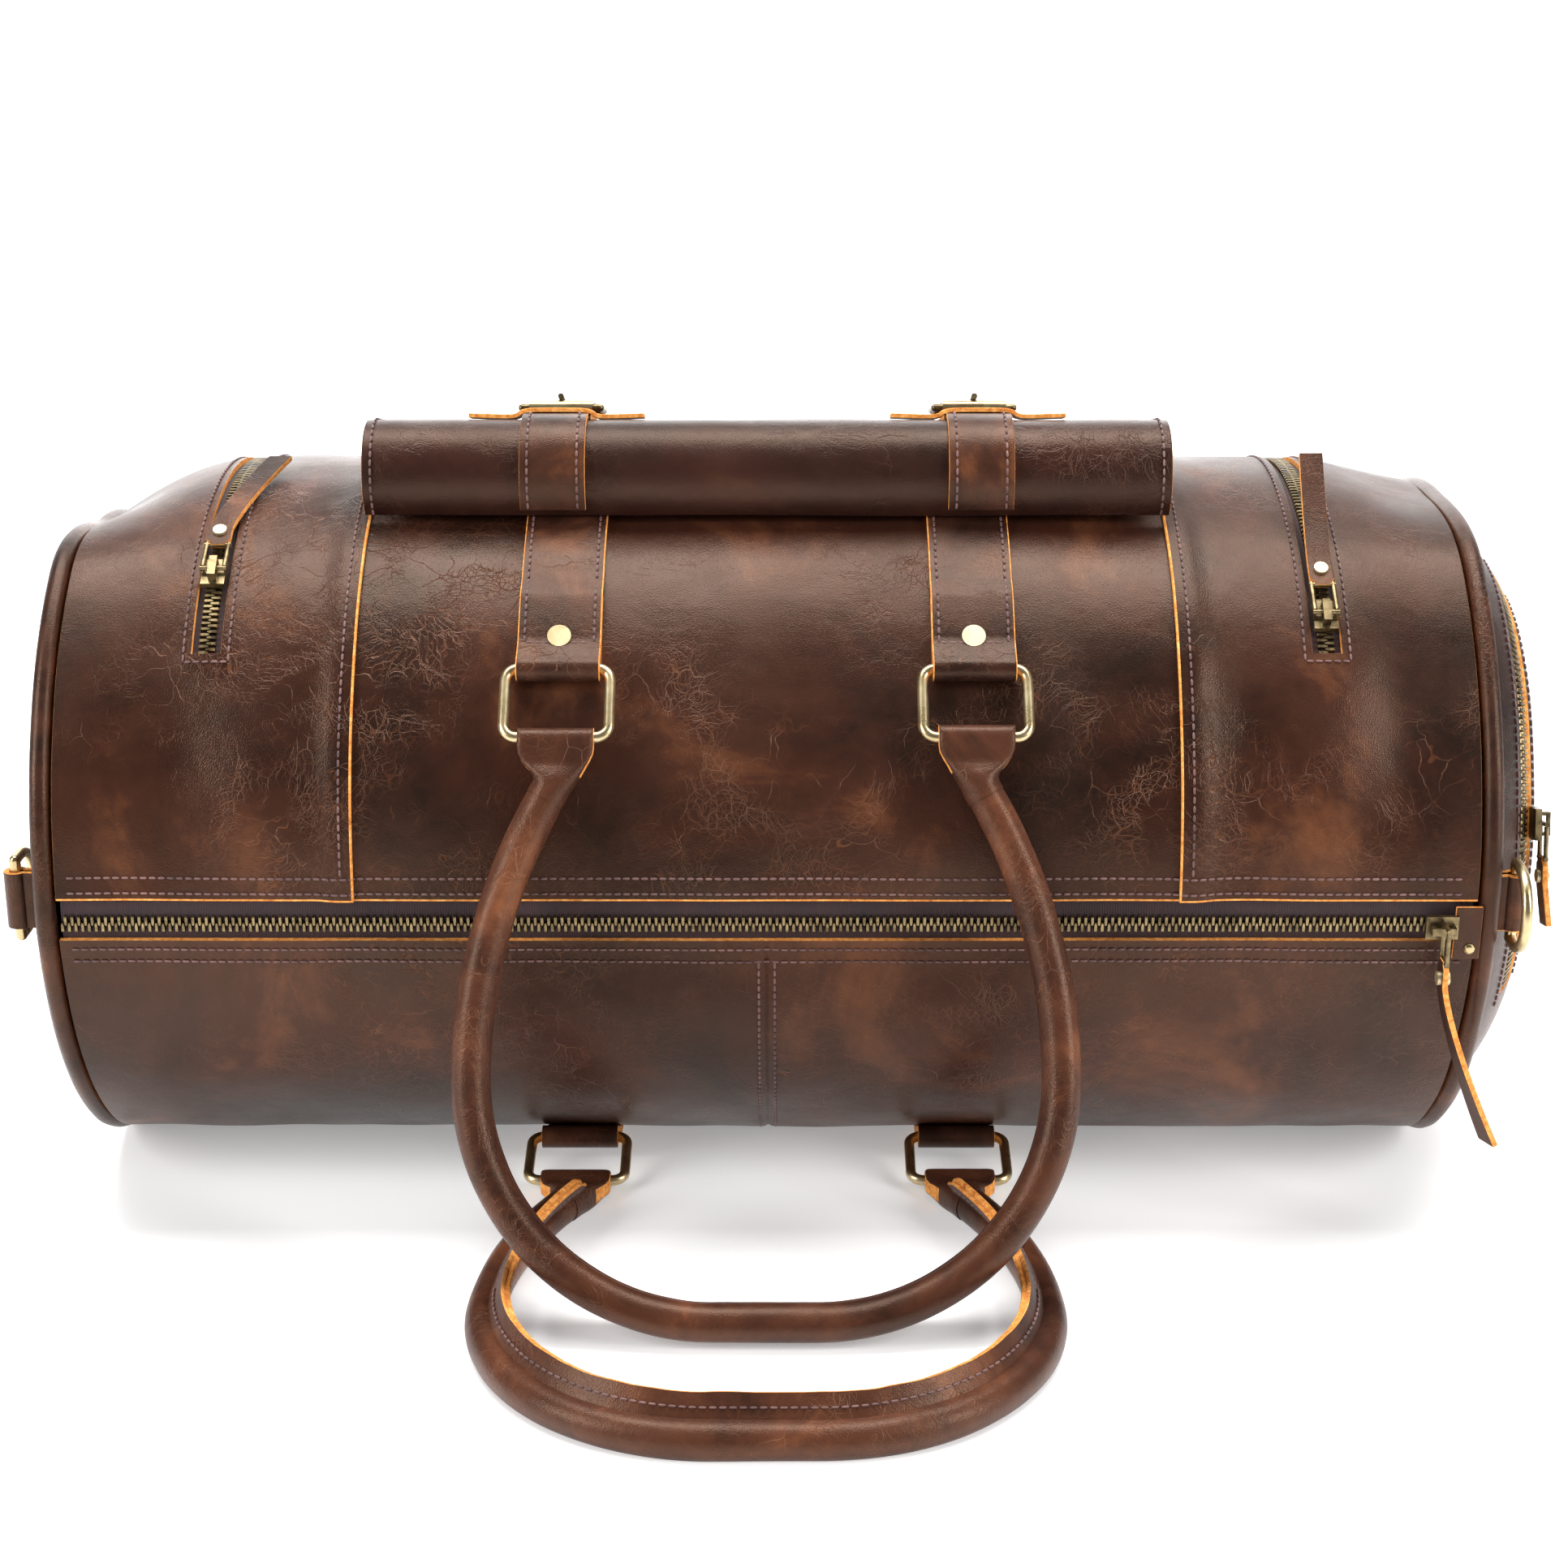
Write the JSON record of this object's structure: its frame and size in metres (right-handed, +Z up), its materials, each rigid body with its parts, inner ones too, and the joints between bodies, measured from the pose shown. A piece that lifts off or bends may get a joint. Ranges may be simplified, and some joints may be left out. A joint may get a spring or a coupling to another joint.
{
  "type": "leather duffel bag",
  "caption": "Barrel duffel bag in distressed leather with rolled handles on rings, zips and a buckled flap pocket, lying on its back panel.",
  "frame": {"origin": "middle of the flat on which the bag rests, at floor level", "axes": "+X along the bag towards the end with the zip pocket, +Z up, main zip facing -Y"},
  "size_m": [0.5885, 0.4383, 0.3088],
  "materials": {
    "leather": "waxed distressed pull-up leather, semi-gloss",
    "leather_edge": "raw cut edge, matte",
    "thread": "waxed polyester thread",
    "lining": "woven cotton",
    "zip_tape": "woven polyester tape",
    "zip_brass": "antique brass",
    "ring_brass": "brushed brass",
    "handle_core": "braided cord"
  },
  "bodies": {
    "bag": {"front_panel_left": "leather", "front_panel_centre": "leather", "front_panel_right": "leather", "base_panel": "leather", "back_panel_left": "leather", "back_panel_right": "leather", "end_panel_left": "leather", "end_panel_right": "leather", "piping_left": "leather", "piping_right": "leather", "lining": "lining", "main_zip_tape": "zip_tape", "main_zip_teeth": "zip_brass", "zip_end_tab": "leather", "side_zip_tapes": "zip_tape", "side_zip_teeth": "zip_brass", "end_zip_tape": "zip_tape", "end_zip_teeth": "zip_brass", "pocket_body": "leather", "handle_straps_front": "leather", "handle_straps_back": "leather", "strap_rivets": "ring_brass", "d_ring_tab_left": "leather", "d_ring_tab_right": "leather"},
    "main_slider": {"main_slider": "zip_brass"},
    "main_pull": {"main_pull_wire": "zip_brass", "main_pull_leather": "leather", "main_pull_rivet": "ring_brass"},
    "left_slider": {"left_slider": "zip_brass"},
    "left_pull": {"left_pull_wire": "zip_brass", "left_pull_leather": "leather", "left_pull_rivet": "ring_brass"},
    "right_slider": {"right_slider": "zip_brass"},
    "right_pull": {"right_pull_wire": "zip_brass", "right_pull_leather": "leather", "right_pull_rivet": "ring_brass"},
    "end_slider": {"end_slider": "zip_brass"},
    "end_pull": {"end_pull_wire": "zip_brass", "end_pull_leather": "leather", "end_pull_rivet": "ring_brass"},
    "flap": {"pocket_flap": "leather", "buckle_straps": "leather", "strap_keepers": "leather", "buckle_frames": "zip_brass"},
    "prong_left": {"buckle_prong_left": "zip_brass"},
    "prong_right": {"buckle_prong_right": "zip_brass"},
    "roller_left": {"buckle_roller_left": "ring_brass"},
    "roller_right": {"buckle_roller_right": "ring_brass"},
    "front_ring_pair": {"front_rings": "ring_brass"},
    "front_grip": {"front_handle": "leather", "front_handle_core": "handle_core", "front_handle_tabs": "leather"},
    "back_ring_pair": {"back_rings": "ring_brass"},
    "back_grip": {"back_handle": "leather", "back_handle_core": "handle_core", "back_handle_tabs": "leather"},
    "d_ring_left": {"d_ring_left": "ring_brass"},
    "d_ring_right": {"d_ring_right": "ring_brass"}
  },
  "joints": [
    {"name": "main_zip", "type": "slide", "parent": "bag", "child": "main_slider", "axis": [1, 0, 0], "range_m": [-0.49, 0]},
    {"name": "main_pull_swing", "type": "hinge", "parent": "main_slider", "child": "main_pull", "pos_m": [0.251, -0.14856, 0.13239], "axis": [0, 1, 0], "range_deg": [-25, 25]},
    {"name": "left_pocket_zip", "type": "hinge", "parent": "bag", "child": "left_slider", "pos_m": [-0.209, 0, 0.136], "axis": [1, 0, 0], "range_deg": [-63, 10]},
    {"name": "left_pull_lift", "type": "hinge", "parent": "left_slider", "child": "left_pull", "pos_m": [-0.209, -0.08499, 0.25298], "axis": [1, 0, 0], "range_deg": [0, 70]},
    {"name": "right_pocket_zip", "type": "hinge", "parent": "bag", "child": "right_slider", "pos_m": [0.209, 0, 0.136], "axis": [1, 0, 0], "range_deg": [-71, 2]},
    {"name": "right_pull_lift", "type": "hinge", "parent": "right_slider", "child": "right_pull", "pos_m": [0.209, -0.10045, 0.24002], "axis": [1, 0, 0], "range_deg": [0, 70]},
    {"name": "end_pocket_zip", "type": "hinge", "parent": "bag", "child": "end_slider", "pos_m": [0.29085, 0, 0.136], "axis": [1, 0, 0], "range_deg": [-53, 32]},
    {"name": "end_pull_lift", "type": "hinge", "parent": "end_slider", "child": "end_pull", "pos_m": [0.29546, -0.1076, 0.15887], "axis": [0, -0.9781, 0.2079], "range_deg": [0, 60]},
    {"name": "flap_open", "type": "hinge", "parent": "bag", "child": "flap", "pos_m": [0, -0.05689, 0.26776], "axis": [1, 0, 0], "range_deg": [0, 75]},
    {"name": "left_prong_lift", "type": "hinge", "parent": "flap", "child": "prong_left", "pos_m": [-0.082, 0.00965, 0.29562], "axis": [-1, 0, 0], "range_deg": [0, 60]},
    {"name": "right_prong_lift", "type": "hinge", "parent": "flap", "child": "prong_right", "pos_m": [0.082, 0.00965, 0.29562], "axis": [-1, 0, 0], "range_deg": [0, 60]},
    {"name": "left_roller_spin", "type": "hinge", "parent": "flap", "child": "roller_left", "pos_m": [-0.082, -0.01276, 0.30079], "axis": [1, 0, 0], "continuous": true},
    {"name": "right_roller_spin", "type": "hinge", "parent": "flap", "child": "roller_right", "pos_m": [0.082, -0.01276, 0.30079], "axis": [1, 0, 0], "continuous": true},
    {"name": "front_rings_swing", "type": "hinge", "parent": "bag", "child": "front_ring_pair", "pos_m": [0, -0.11633, 0.22239], "axis": [-1, 0, 0], "range_deg": [0, 60]},
    {"name": "front_handle_lift", "type": "hinge", "parent": "front_ring_pair", "child": "front_grip", "pos_m": [0, -0.13493, 0.20173], "axis": [-1, 0, 0], "range_deg": [0, 60]},
    {"name": "back_rings_swing", "type": "hinge", "parent": "bag", "child": "back_ring_pair", "pos_m": [0, -0.07321, 0.01095], "axis": [-1, 0, 0], "range_deg": [0, 8]},
    {"name": "back_handle_lift", "type": "hinge", "parent": "back_ring_pair", "child": "back_grip", "pos_m": [0, -0.1003, 0.0047], "axis": [-1, 0, 0], "range_deg": [0, 10]},
    {"name": "left_d_ring_swing", "type": "hinge", "parent": "bag", "child": "d_ring_left", "pos_m": [-0.2815, -0.127, 0.136], "axis": [0, 0, 1], "range_deg": [0, 140]},
    {"name": "right_d_ring_swing", "type": "hinge", "parent": "bag", "child": "d_ring_right", "pos_m": [0.28, -0.13, 0.136], "axis": [0, 0, 1], "range_deg": [0, 50]}
  ]
}
